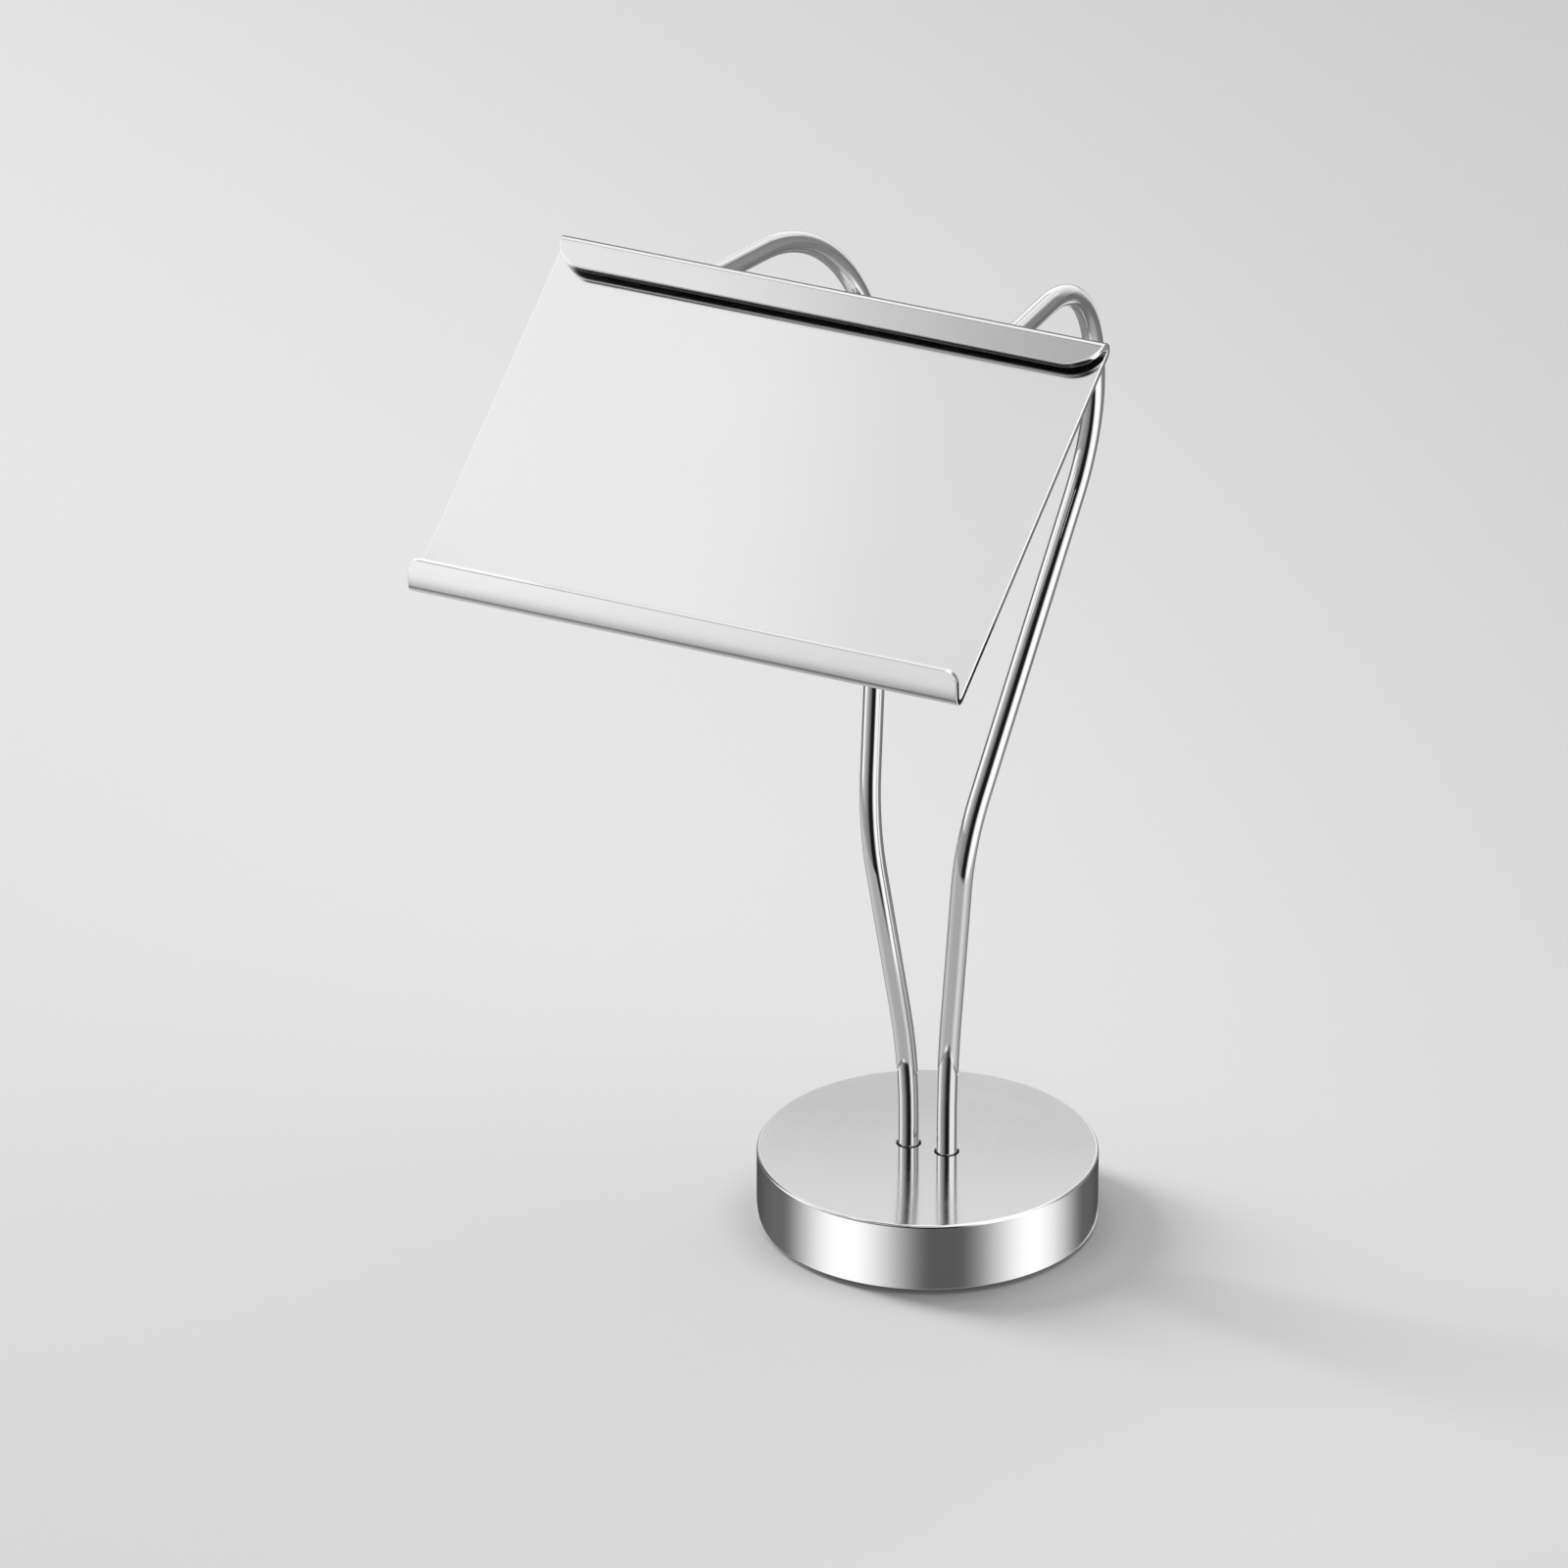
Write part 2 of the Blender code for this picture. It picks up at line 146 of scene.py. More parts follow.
class MenuHolderRods(bpy.types.PropertyGroup):
    diameter: size("Diameter", "Diameter of the rods", 8 * MM)
    spacing: size("Spacing", "Distance between the rods at their feet", 16 * MM)
    first_radius: size("First radius", "Radius of the long bend above the base", 290 * MM)
    first_height: size("First height", "Height of that bend above the base", 35 * MM)
    bend_radius: size("Bend radius", "Radius of the other bends", 78 * MM)
    knee_height: size("Knee height", "Height of the knee above the base", 137 * MM)
    knee_forward: size("Knee forward", "How far the knee comes forward", 11 * MM)
    knee_spread: size("Knee spread", "Distance between the knees", 40 * MM)
    rear_spread: size("Rear spread", "Distance between the rear bends", 86 * MM)
    rear_drop: size("Rear drop", "Height of the crown above the rear bend", 80 * MM)
    rear_back: size("Rear back", "How far the rear bend lies behind the crown", 18.5 * MM)
    crown_spread: size("Crown spread", "Distance between the crowns", 104 * MM)
    crown_rise: size("Crown rise", "Height of the join above the crown corner", 9.7 * MM)
    run_length: size("Run length", "Reach from the crown corner forward to the join", 120 * MM)
    join_spread: size("Join spread", "Distance between the rods on the plate", 128 * MM)
    join_below_top: size("Join below top", "Distance of the join from the top of the face", 8.5 * MM)
    tail: size("Tail", "Length of rod that runs down the back of the plate", 75 * MM)
    end_rounding: size("End rounding", "Rounding of the rod's sawn upper end", 0.8 * MM)
    sides: count("Sides", "Facets round a rod", 64)
    bend_step: angle("Bend step", "Turn between two rings of a bend", 2)


class MenuHolderPlate(bpy.types.PropertyGroup):
    thickness: size("Thickness", "Thickness of the sheet", 2.5 * MM)
    face_length: size("Face length", "Length of the flat face between the folds", 148 * MM)
    tilt: angle("Tilt", "Slope of the face", 35)
    reach: size("Reach", "How far the middle of the face lies forward of the base axis", 144.5 * MM)
    height: size("Height", "Height of the middle of the face above the base", 343 * MM)
    fold_radius: size("Fold radius", "Inner radius of the folds", 1 * MM)
    top_turn: angle("Top turn", "Turn of the top fold", 176)
    top_lip: size("Top lip", "Length of the top lip", 10.5 * MM)
    top_corner: size("Top corner", "Rounding of the top lip's corners", 14 * MM)
    bottom_turn: angle("Bottom turn", "Turn of the bottom fold", 122)
    bottom_lip: size("Bottom lip", "Length of the bottom lip", 11 * MM)
    bottom_corner: size("Bottom corner", "Rounding of the bottom lip's corners", 5 * MM)
    arris: size("Arris", "Rounding of the sheet's cut edges", 0.45 * MM)
    fold_steps: count("Fold steps", "Facets of each fold", 28)
    corner_steps: count("Corner steps", "Facets of each rounded corner", 20)


class MenuHolderWelds(bpy.types.PropertyGroup):
    length: size("Length", "Length of each weld", 14 * MM)
    pitch: size("Pitch", "Distance between two welds along a rod", 24 * MM)
    inset: size("Inset", "Distance of the first weld from the rod's end", 4 * MM)
    leg: size("Leg", "Width of the weld on the sheet", 1.8 * MM)
    climb: angle("Climb", "Angle on the rod that the weld reaches", 22)
    crown: size("Crown", "How far the weld's face swells", 0.3 * MM)
    ripple: size("Ripple", "Distance between two ripples", 1.4 * MM)


class MenuHolderFinishes(bpy.types.PropertyGroup):
    disc: colour("Disc", "Mirror-polished disc", "E6E6E6")
    rod: colour("Rod", "Buffed rods", "E4E4E4")
    sheet: colour("Sheet", "Polished sheet", "E8E8E8")
    zinc: colour("Zinc", "Zinc-plated screws and washers", "BCC0C6")
    weld: colour("Weld", "Brushed weld beads", "C9C6C1")
    straw: colour("Straw", "Heat tint on the welds", "B59F78")
    # Painted shade: a dark colour for the seam round each rod, where shade falls
    painted_seam_shade: colour("Seam shade", "Painted shade in the seams round the rods", "4A4948")
    rubber: colour("Rubber", "Pad under the base", "1C1C1D")


class MenuHolderStage(bpy.types.PropertyGroup):
    azimuth: angle("Azimuth", "Side that the camera looks from", 25.993)
    elevation: angle("Elevation", "Height that the camera looks from", 26.048)
    distance: size("Distance", "Distance of the camera from its aim", 5.24)
    aim: bpy.props.FloatVectorProperty(name="Aim", description="Point in the middle of the picture",
                                       size=3, subtype="XYZ", default=(0.03053, -0.18712, 0.27141))
    lens: level("Lens", "Focal length in millimetres on a 36 mm sensor", 332.97)
    # The floor's colours paint a pool of light on the board: palest in the pool, darker past it
    floor: colour("Floor", "Palest part of the floor", "F5F5F5")
    floor_past_painted_light: colour("Floor edge", "Floor away from that part", "DFDFDF")
    horizon: colour("Horizon", "Pale background past the floor", "C8C8C8")
    fill: level("Fill", "Even light from all round", 0.228)
    window: level("Window", "Power of the tall lamp at the left in watts", 122.6)
    overhead: level("Overhead", "Power of the broad lamp above in watts", 24.9)


class MenuHolderSettings(bpy.types.PropertyGroup):
    base: bpy.props.PointerProperty(type=MenuHolderBase)
    rods: bpy.props.PointerProperty(type=MenuHolderRods)
    plate: bpy.props.PointerProperty(type=MenuHolderPlate)
    welds: bpy.props.PointerProperty(type=MenuHolderWelds)
    finishes: bpy.props.PointerProperty(type=MenuHolderFinishes)
    stage: bpy.props.PointerProperty(type=MenuHolderStage)


# Meshes

def new_object(name, bm, material):
    mesh = bpy.data.meshes.new(name)
    bm.to_mesh(mesh)
    bm.free()
    mesh.materials.append(material)
    obj = bpy.data.objects.new(name, mesh)
    bpy.context.scene.collection.objects.link(obj)
    return obj


def settle(obj):
    """Keep what the modifiers make as the object's own mesh."""
    graph = bpy.context.evaluated_depsgraph_get()
    mesh = bpy.data.meshes.new_from_object(obj.evaluated_get(graph), depsgraph=graph)
    obj.modifiers.clear()
    obj.data = mesh


def dress(obj, node, sharp_turn=SHARP_TURN):
    """Shade a piece smooth, its flat faces kept flat, and put it in the place of its solid."""
    obj.data.shade_smooth()
    obj.data.set_sharp_from_angle(angle=math.radians(sharp_turn))
    weights = obj.modifiers.new("Flat faces", "WEIGHTED_NORMAL")
    weights.mode = "FACE_AREA"
    weights.weight = 100
    weights.keep_sharp = True
    settle(obj)
    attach(obj, BODY)
    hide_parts(node)


def arc(centre, radius, start, end, steps):
    """Points of an arc in a plane, between two angles in degrees."""
    points = []
    for step in range(steps + 1):
        turn = math.radians(start + (end - start) * step / steps)
        points.append((centre[0] + radius * math.cos(turn), centre[1] + radius * math.sin(turn)))
    return points


def spun(outline, steps):
    """Turn an outline of (radius, height) points about Z."""
    bm = bmesh.new()
    points = [bm.verts.new((radius, 0, height)) for radius, height in outline]
    edges = [bm.edges.new(pair) for pair in zip(points, points[1:])]
    bmesh.ops.spin(bm, geom=points + edges, cent=(0, 0, 0), axis=(0, 0, 1), angle=2 * math.pi,
                   steps=steps, use_merge=True)
    bmesh.ops.remove_doubles(bm, verts=bm.verts, dist=MERGE_DISTANCE)
    bmesh.ops.recalc_face_normals(bm, faces=bm.faces)
    return bm


def ring_edges(geometry):
    return [item for item in geometry if isinstance(item, bmesh.types.BMEdge)]


def ring_verts(geometry):
    return [item for item in geometry if isinstance(item, bmesh.types.BMVert)]


def round_off(bm, geometry, offset, affect, steps):
    bmesh.ops.bevel(bm, geom=geometry, offset=offset, offset_type="OFFSET", affect=affect,
                    segments=steps, profile=0.5, material=-1)


def far_ring(bm, edges):
    """Extrude a ring of edges and give the verts and edges of the new ring."""
    made = bmesh.ops.extrude_edge_only(bm, edges=edges)["geom"]
    verts = ring_verts(made)
    ring = set(verts)
    return verts, [edge for edge in ring_edges(made) if ring.issuperset(edge.verts)]


# Node materials

def feed(node, inputs):
    """Give a node's sockets, in their order or by name, plain values or links.

    A link comes from a socket, or from a node's first output.
    """
    pairs = inputs.items() if isinstance(inputs, dict) else enumerate(inputs)
    for socket, source in pairs:
        if isinstance(source, bpy.types.Node):
            source = source.outputs[0]
        if isinstance(source, bpy.types.NodeSocket):
            node.id_data.links.new(source, node.inputs[socket])
        else:
            node.inputs[socket].default_value = source


def add_node(tree, kind, inputs=(), **settings):
    """Add a node with its settings, its plain values and its links."""
    node = tree.nodes.new(kind)
    for name, value in settings.items():
        setattr(node, name, value)
    feed(node, inputs)
    return node


def new_material(name):
    """A material, its node tree and the Object coordinates that its patterns read."""
    material = bpy.data.materials.new(name)
    material.use_nodes = True
    tree = material.node_tree
    return material, tree, add_node(tree, "ShaderNodeTexCoord").outputs["Object"]


def turned_polished_steel(finishes, rods):
    """Stainless steel, turned and mirror-polished.

    The eye sees sharp reflections with a faint ring grain, left by the lathe under the polish, and
    a painted shade: a dark colour in the seam round each rod, where shade falls.
    """
    material, tree, place = new_material("stainless_turned_mirror_polished")
    height = add_node(tree, "ShaderNodeSeparateXYZ", (place,)).outputs["Z"]
    level_place = add_node(tree, "ShaderNodeVectorMath", (place, (1, 1, 0)), operation="MULTIPLY")
    radius = add_node(tree, "ShaderNodeVectorMath", (level_place,), operation="LENGTH").outputs["Value"]
    lathe = add_node(tree, "ShaderNodeCombineXYZ", (radius, height))
    # Lathe rings of 0.1 mm don't show at this distance, so they are drawn 0.8 mm apart
    rings = add_node(tree, "ShaderNodeTexNoise", {
        "Vector": lathe, "Scale": 1 / (0.8 * MM), "Detail": 2}, noise_dimensions="2D")
    haze = add_node(tree, "ShaderNodeTexNoise", {"Vector": place, "Scale": 1 / (40 * MM), "Detail": 3})
    grain = add_node(tree, "ShaderNodeMath", (rings, 0.6, haze), operation="MULTIPLY_ADD")
    rough = add_node(tree, "ShaderNodeMapRange", (grain, 0.5, 1.1, 0.06, 0.13))
    bump = add_node(tree, "ShaderNodeBump", {"Strength": 0.03, "Distance": 0.05 * MM, "Height": rings})
    # Painted shade: the colour darkens in a thin ring round each rod, where the seam lies in shade
    folded = add_node(tree, "ShaderNodeVectorMath", (level_place,), operation="ABSOLUTE")
    from_rod = add_node(tree, "ShaderNodeVectorMath", (folded, (rods.spacing / 2, 0, 0)),
                        operation="DISTANCE").outputs["Value"]
    seam = rods.diameter / 2 + SEAT_GAP + SEAM_WIDTH
    past_painted_seam_shade = add_node(tree, "ShaderNodeMapRange", (from_rod, seam - SEAM_BLUR, seam + SEAM_BLUR),
                     interpolation_type="SMOOTHSTEP")
    shade = add_node(tree, "ShaderNodeMix", {
        0: past_painted_seam_shade, 6: (*finishes.painted_seam_shade, 1), 7: (*finishes.disc, 1)}, data_type="RGBA").outputs[2]
    feed(tree.nodes[SHADER], {"Base Color": shade, "Metallic": 1, "Roughness": rough, "Normal": bump})
    return material


def buffed_rod_steel(finishes):
    """Stainless rod, drawn, bent and buffed.

    The eye sees crisp light and dark streaks along it, whose edges waver a little.
    """
    material, tree, place = new_material("stainless_drawn_and_buffed")
    wavering = add_node(tree, "ShaderNodeTexNoise", {
        "Vector": place, "Scale": 1 / (14 * MM), "Detail": 1})
    # Buffing marks of 0.05 mm don't show at this distance, so they are drawn 1.2 mm apart
    marks = add_node(tree, "ShaderNodeTexNoise", {
        "Vector": place, "Scale": 1 / (1.2 * MM), "Detail": 3})
    rough = add_node(tree, "ShaderNodeMapRange", (marks, 0.3, 0.7, 0.03, 0.06))
    bump = add_node(tree, "ShaderNodeBump", {
        "Strength": 0.08, "Distance": 0.4 * MM, "Height": wavering})
    feed(tree.nodes[SHADER], {
        "Base Color": (*finishes.rod, 1), "Metallic": 1, "Roughness": rough, "Normal": bump})
    return material


def polished_sheet_steel(finishes):
    """Stainless sheet, rolled and belt-polished across its width.

    The eye sees soft reflections and a very fine grain that runs from side to side.
    """
    material, tree, place = new_material("stainless_sheet_belt_polished")
    # A belt grain of 0.05 mm doesn't show at this distance, so its lines are drawn 0.5 mm apart
    across = add_node(tree, "ShaderNodeMapping", {
        "Vector": place, "Scale": (1 / (60 * MM), 1 / (0.5 * MM), 1 / (0.5 * MM))})
    grain = add_node(tree, "ShaderNodeTexNoise", {"Vector": across, "Scale": 1, "Detail": 2})
    haze = add_node(tree, "ShaderNodeTexNoise", {"Vector": place, "Scale": 1 / (55 * MM), "Detail": 2})
    marks = add_node(tree, "ShaderNodeMath", (grain, 0.5, haze), operation="MULTIPLY_ADD")
    rough = add_node(tree, "ShaderNodeMapRange", (marks, 0.45, 1.05, 0.09, 0.15))
    bump = add_node(tree, "ShaderNodeBump", {"Strength": 0.03, "Distance": 0.05 * MM, "Height": grain})
    feed(tree.nodes[SHADER], {
        "Base Color": (*finishes.sheet, 1), "Metallic": 1, "Roughness": rough, "Normal": bump})
    return material


def brushed_weld_steel(finishes):
    """Stainless weld bead, wire-brushed: a satin grey with patches of straw heat tint."""
    material, tree, place = new_material("stainless_weld_brushed")
    tint = add_node(tree, "ShaderNodeTexNoise", {"Vector": place, "Scale": 1 / (5 * MM), "Detail": 2})
    shade = add_node(tree, "ShaderNodeMix", {
        0: tint, 6: (*finishes.weld, 1), 7: (*finishes.straw, 1)}, data_type="RGBA").outputs[2]
    brushed = add_node(tree, "ShaderNodeTexNoise", {
        "Vector": place, "Scale": 1 / (0.4 * MM), "Detail": 3})
    rough = add_node(tree, "ShaderNodeMapRange", (brushed, 0, 1, 0.22, 0.42))
    bump = add_node(tree, "ShaderNodeBump", {"Strength": 0.2, "Distance": 0.1 * MM, "Height": brushed})
    feed(tree.nodes[SHADER], {"Base Color": shade, "Metallic": 1, "Roughness": rough, "Normal": bump})
    return material


def zinc_plated_steel(finishes):
    """Steel fasteners, zinc-plated and passivated: pale blue-grey, with a fine crystal mottle."""
    material, tree, place = new_material("steel_zinc_plated")
    crystals = add_node(tree, "ShaderNodeTexVoronoi", {
        "Vector": place, "Scale": 1 / (0.7 * MM)}).outputs["Color"]
    shade = add_node(tree, "ShaderNodeMix", {0: 0.25, 6: (*finishes.zinc, 1), 7: crystals},
                     data_type="RGBA", blend_type="SOFT_LIGHT").outputs[2]
    rough = add_node(tree, "ShaderNodeMapRange", (crystals, 0, 1, 0.28, 0.45))
    feed(tree.nodes[SHADER], {"Base Color": shade, "Metallic": 1, "Roughness": rough})
    return material


def moulded_rubber(finishes):
    """Black rubber, moulded: matt, with a fine grain and a faint bloom."""
    material, tree, place = new_material("rubber_moulded")
    grain, bloom = [
        add_node(tree, "ShaderNodeTexNoise", {"Vector": place, "Scale": 1 / grit, "Detail": 3})
        for grit in (0.6 * MM, 18 * MM)]
    dusty = [min(1, RUBBER_BLOOM * channel) for channel in finishes.rubber]
    shade = add_node(tree, "ShaderNodeMix", {
        0: bloom, 6: (*finishes.rubber, 1), 7: (*dusty, 1)}, data_type="RGBA").outputs[2]
    rough = add_node(tree, "ShaderNodeMapRange", (grain, 0, 1, 0.7, 0.95))
    bump = add_node(tree, "ShaderNodeBump", {"Strength": 0.3, "Distance": 0.1 * MM, "Height": grain})
    feed(tree.nodes[SHADER], {
        "Base Color": shade, "Roughness": rough, "Specular IOR Level": 0.3, "Normal": bump})
    return material


# Base disc and pad

def disc_outline(base):
    """Outline of the disc from its top centre, round both rims, to the middle of its recess."""
    radius = DISC_HIGH.x
    upper = base.upper_rim
    lower = base.lower_rim
    recess = PAD_HIGH.x + SEAT_GAP
    recess_floor = PAD_HIGH.z + SEAT_GAP
    outline = [(0, DISC_HIGH.z)]
    outline += arc((radius - upper, DISC_HIGH.z - upper), upper, 90, 0, RIM_STEPS)
    outline += arc((radius - lower, DISC_LOW.z + lower), lower, 0, -90, RIM_STEPS)
    outline += [(recess, DISC_LOW.z), (recess, recess_floor), (0, recess_floor)]
    return outline


def socket_outline(base, rods):
    """Outline of the stepped hole for one rod, its screw and the screw's head."""
    socket = rods.diameter / 2 + SEAT_GAP
    bore = (WASHER_HIGH.x - WASHER_LOW.x) / 2 + SEAT_GAP
    mouth = base.countersink + CUTTER_OVERRUN
    return [
        (0, DISC_HIGH.z + CUTTER_OVERRUN),
        (socket + mouth, DISC_HIGH.z + CUTTER_OVERRUN),
        (socket, DISC_HIGH.z - base.countersink),
        (socket, ROD_FOOT - SEAT_GAP),
        (SCREW_HOLE_RADIUS, ROD_FOOT - SEAT_GAP),
        (SCREW_HOLE_RADIUS, WASHER_HIGH.z + SEAT_GAP),
        (bore, WASHER_HIGH.z + SEAT_GAP),
        (bore, PAD_HIGH.z - CUTTER_OVERRUN),
        (0, PAD_HIGH.z - CUTTER_OVERRUN),
    ]


class MENU_HOLDER_OT_base_disc(bpy.types.Operator):
    """Turn the base disc with its rounded rims and bore the two rod sockets"""

    bl_idname = "menu_holder.base_disc"
    bl_label = "Base Disc"

    def execute(self, context):
        settings = context.scene.menu_holder
        steel = turned_polished_steel(settings.finishes, settings.rods)
        disc = new_object("turned_disc", spun(disc_outline(settings.base), settings.base.steps), steel)
        cutters = []
        for side, sign in SIDES.items():
            bm = spun(socket_outline(settings.base, settings.rods), SOCKET_STEPS)
            bmesh.ops.translate(bm, vec=(sign * settings.rods.spacing / 2, 0, 0), verts=bm.verts)
            cutter = new_object("socket_" + side, bm, steel)
            disc.modifiers.new("Bore " + side, "BOOLEAN").object = cutter
            cutters.append(cutter)
        settle(disc)
        for cutter in cutters:
            bpy.data.objects.remove(cutter)
        dress(disc, "base_disc")
        return {"FINISHED"}


class MENU_HOLDER_OT_base_pad(bpy.types.Operator):
    """Mould the rubber pad in the underside of the base"""

    bl_idname = "menu_holder.base_pad"
    bl_label = "Base Pad"

    def execute(self, context):
        settings = context.scene.menu_holder
        radius = PAD_HIGH.x
        edge = settings.base.pad_edge
        outline = [(0, PAD_HIGH.z)]
        outline += arc((radius - edge, PAD_HIGH.z - edge), edge, 90, 0, PAD_EDGE_STEPS)
        outline += arc((radius - edge, PAD_LOW.z + edge), edge, 0, -90, PAD_EDGE_STEPS)
        outline += [(0, PAD_LOW.z)]
        pad = new_object("moulded_pad", spun(outline, settings.base.steps),
                         moulded_rubber(settings.finishes))
        dress(pad, "base_pad")
        return {"FINISHED"}


# Plate

def plate_place(plate):
    """Matrix from the flat sheet, (across, up the slope, out of the front), to the frame."""
    slope = Vector((0, math.cos(plate.tilt), math.sin(plate.tilt)))
    front = Vector((0, -math.sin(plate.tilt), math.cos(plate.tilt)))
    centre = Vector((0, -plate.reach, DISC_HIGH.z + plate.height))
    turn = Matrix((Vector((1, 0, 0)), slope, front)).transposed()
    return Matrix.Translation(centre) @ turn.to_4x4()


def fold_lines(plate, turn):
    """Places of a fold's lines past the end of the face, and the turn at each of them."""
    radius = plate.fold_radius + plate.thickness / 2
    steps = plate.fold_steps
    chord = 2 * radius * math.sin(turn / steps / 2)
    lines = []
    for step in range(steps + 1):
        share = 0.5 if step in (0, steps) else 1
        lines.append((plate.face_length / 2 + chord * step, turn / steps * share))
    return lines


def cut_blank(bm, plate, top_end, bottom_end):
    """Cut the flat sheet with its rounded corners and round its cut edges, before any folding."""
    bmesh.ops.create_grid(bm, x_segments=1, y_segments=1, size=0.5)
    width = PLATE_HIGH.x - PLATE_LOW.x
    bmesh.ops.scale(bm, vec=(width, top_end + bottom_end, 1), verts=bm.verts)
    bmesh.ops.translate(bm, vec=(0, (top_end - bottom_end) / 2, 0), verts=bm.verts)
    for sign, corner in ((1, plate.top_corner), (-1, plate.bottom_corner)):
        ends = [vert for vert in bm.verts if sign * vert.co.y > plate.face_length / 2
                and abs(vert.co.x) > width / 2 - MERGE_DISTANCE]
        round_off(bm, ends, corner, "VERTICES", plate.corner_steps)
    front = bmesh.ops.extrude_face_region(bm, geom=bm.faces[:])["geom"]
    bmesh.ops.translate(bm, vec=(0, 0, plate.thickness), verts=ring_verts(front))
    bmesh.ops.translate(bm, vec=(0, 0, -plate.thickness / 2), verts=bm.verts)
    bmesh.ops.recalc_face_normals(bm, faces=bm.faces)
    cut_edges = [edge for edge in bm.edges if edge.calc_face_angle() > math.radians(CUT_TURN)]
    round_off(bm, cut_edges, plate.arris, "EDGES", EDGE_STEPS)


def bend_up(bm, lines, sign):
    """Score the sheet along a fold's lines and bend it there, from its free edge inwards."""
    for place, _ in lines:
        everything = bm.verts[:] + bm.edges[:] + bm.faces[:]
        bmesh.ops.bisect_plane(bm, geom=everything, dist=MERGE_DISTANCE,
                               plane_co=(0, sign * place, 0), plane_no=(0, 1, 0))
    flat_place = {vert: sign * vert.co.y for vert in bm.verts}
    for place, turn in reversed(lines):
        # Half of each turn takes the line along, so that it ends between its two neighbours
        for start in (place - MERGE_DISTANCE, place + MERGE_DISTANCE):
            beyond = [vert for vert in bm.verts if flat_place[vert] > start]
            bmesh.ops.rotate(bm, cent=(0, sign * place, 0), verts=beyond,
                             matrix=Matrix.Rotation(sign * turn / 2, 3, "X"))


class MENU_HOLDER_OT_card_plate(bpy.types.Operator):
    """Cut the sheet, round its cut edges and fold its two lips"""

    bl_idname = "menu_holder.card_plate"
    bl_label = "Card Plate"

    def execute(self, context):
        settings = context.scene.menu_holder
        plate = settings.plate
        top = fold_lines(plate, plate.top_turn)
        bottom = fold_lines(plate, plate.bottom_turn)
        bm = bmesh.new()
        cut_blank(bm, plate, top[-1][0] + plate.top_lip, bottom[-1][0] + plate.bottom_lip)
        bend_up(bm, top, 1)
        bend_up(bm, bottom, -1)
        bmesh.ops.transform(bm, matrix=plate_place(plate), verts=bm.verts)
        sheet = new_object("folded_plate", bm, polished_sheet_steel(settings.finishes))
        dress(sheet, "menu_plate")
        return {"FINISHED"}


# Rods

def rod_corners(rods, plate, sign):
    """Corners of a rod's centre line: foot, first bend, knee, rear, crown, join and tail end."""
    behind = plate.thickness / 2 + SEAT_GAP + rods.diameter / 2
    on_plate = plate_place(plate)
    join_place = plate.face_length / 2 - rods.join_below_top
    spread = sign * rods.join_spread / 2
    join = on_plate @ Vector((spread, join_place, -behind))
    tail = on_plate @ Vector((spread, join_place - rods.tail, -behind))
    crown = Vector((sign * rods.crown_spread / 2, join.y + rods.run_length,
                    join.z - rods.crown_rise))
    rear = Vector((sign * rods.rear_spread / 2, crown.y + rods.rear_back, crown.z - rods.rear_drop))
    foot_x = sign * rods.spacing / 2
    return [
        Vector((foot_x, 0, ROD_FOOT)),
        Vector((foot_x, 0, DISC_HIGH.z + rods.first_height)),
        Vector((sign * rods.knee_spread / 2, -rods.knee_forward, DISC_HIGH.z + rods.knee_height)),
        rear,
        crown,
        join,
        tail,
    ]


def rod_bends(corners, radii):
    """Start, centre, axis and turn of each bend. An arc is limited by the runs that it joins."""
    runs = [(end - start).length for start, end in zip(corners, corners[1:])]
    turns = [(corner - before).angle(after - corner)
             for before, corner, after in zip(corners, corners[1:], corners[2:])]
    wanted = [0] + [radius * math.tan(turn / 2) for radius, turn in zip(radii, turns)] + [0]
    bends = []
    for index, turn in enumerate(turns, start=1):
        corner = corners[index]
        share_before = runs[index - 1] / max(runs[index - 1], wanted[index - 1] + wanted[index])
        share_after = runs[index] / max(runs[index], wanted[index] + wanted[index + 1])
        reach = wanted[index] * min(share_before, share_after)
        towards = (corners[index - 1] - corner).normalized()
        away = (corners[index + 1] - corner).normalized()
        radius = reach / math.tan(turn / 2)
        centre = corner + (towards + away).normalized() * (radius / math.cos(turn / 2))
        bends.append((corner + towards * reach, centre, away.cross(towards), turn))
    return bends


def sweep_rod(rods, corners):
    """Push a round section along the rod: straight to each bend, then round it."""
    bm = bmesh.new()
    radii = [rods.first_radius] + [rods.bend_radius] * 4
    bmesh.ops.create_circle(bm, segments=rods.sides, radius=rods.diameter / 2,
                            matrix=Matrix.Translation(corners[0]))
    edges = first = bm.edges[:]
    here = corners[0]
    for start, centre, axis, turn in rod_bends(corners, radii):
        verts, edges = far_ring(bm, edges)
        bmesh.ops.translate(bm, vec=start - here, verts=verts)
        steps = math.ceil(turn / rods.bend_step)
        bend = bmesh.ops.spin(bm, geom=edges, cent=centre, axis=axis, angle=turn, steps=steps)
        edges = ring_edges(bend["geom_last"])
        middles = [(edge.verts[0].co + edge.verts[1].co) / 2 for edge in edges]
        here = sum(middles, Vector()) / len(middles)
    verts, edges = far_ring(bm, edges)
    bmesh.ops.translate(bm, vec=corners[-1] - here, verts=verts)
    bmesh.ops.edgeloop_fill(bm, edges=edges)
    round_off(bm, edges, rods.end_rounding, "EDGES", EDGE_STEPS)
    return bm, first


def tap_foot(bm, rods, foot_edges):
    """Close the foot of a rod and bore it for the screw."""
    foot = bmesh.ops.edgeloop_fill(bm, edges=foot_edges)["faces"]
    bmesh.ops.inset_region(bm, faces=foot, thickness=rods.diameter / 2 - SCREW_HOLE_RADIUS,
                           use_even_offset=True)
    bore = bmesh.ops.extrude_face_region(bm, geom=foot)["geom"]
    bmesh.ops.delete(bm, geom=foot, context="FACES_ONLY")
    bmesh.ops.translate(bm, vec=(0, 0, SCREW_TIP + SCREW_TIP_ROOM - ROD_FOOT),
                        verts=ring_verts(bore))


